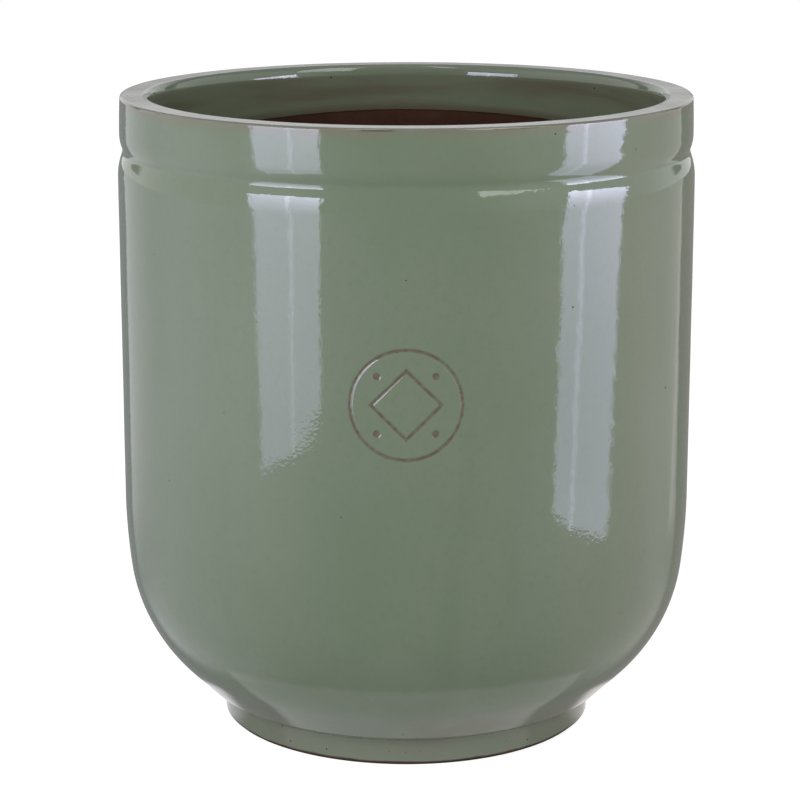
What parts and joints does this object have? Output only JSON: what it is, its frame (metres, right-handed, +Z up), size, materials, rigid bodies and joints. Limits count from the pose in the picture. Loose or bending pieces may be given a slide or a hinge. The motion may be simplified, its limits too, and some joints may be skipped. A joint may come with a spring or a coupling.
{
  "type": "glazed planter",
  "caption": "Tall round planter of fired clay with a sage glaze, a groove under the flat rim, a turned-in belly and a narrow foot with a drainage hole.",
  "frame": {"origin": "centre of the foot's underside, which is the centre of the bottom of the bounding box", "axes": "+Z up along the pot's axis of revolution; the front, with the impressed seal, faces -Y"},
  "size_m": [0.4, 0.3999, 0.445],
  "materials": {
    "terracotta": "matte",
    "sage_glaze": "gloss"
  },
  "bodies": {
    "root": {"foot_ring": "terracotta", "clay_floor": "terracotta", "clay_wall": "terracotta", "outer_glaze": "sage_glaze", "rim_glaze": "sage_glaze", "inner_glaze": "sage_glaze"}
  },
  "joints": []
}
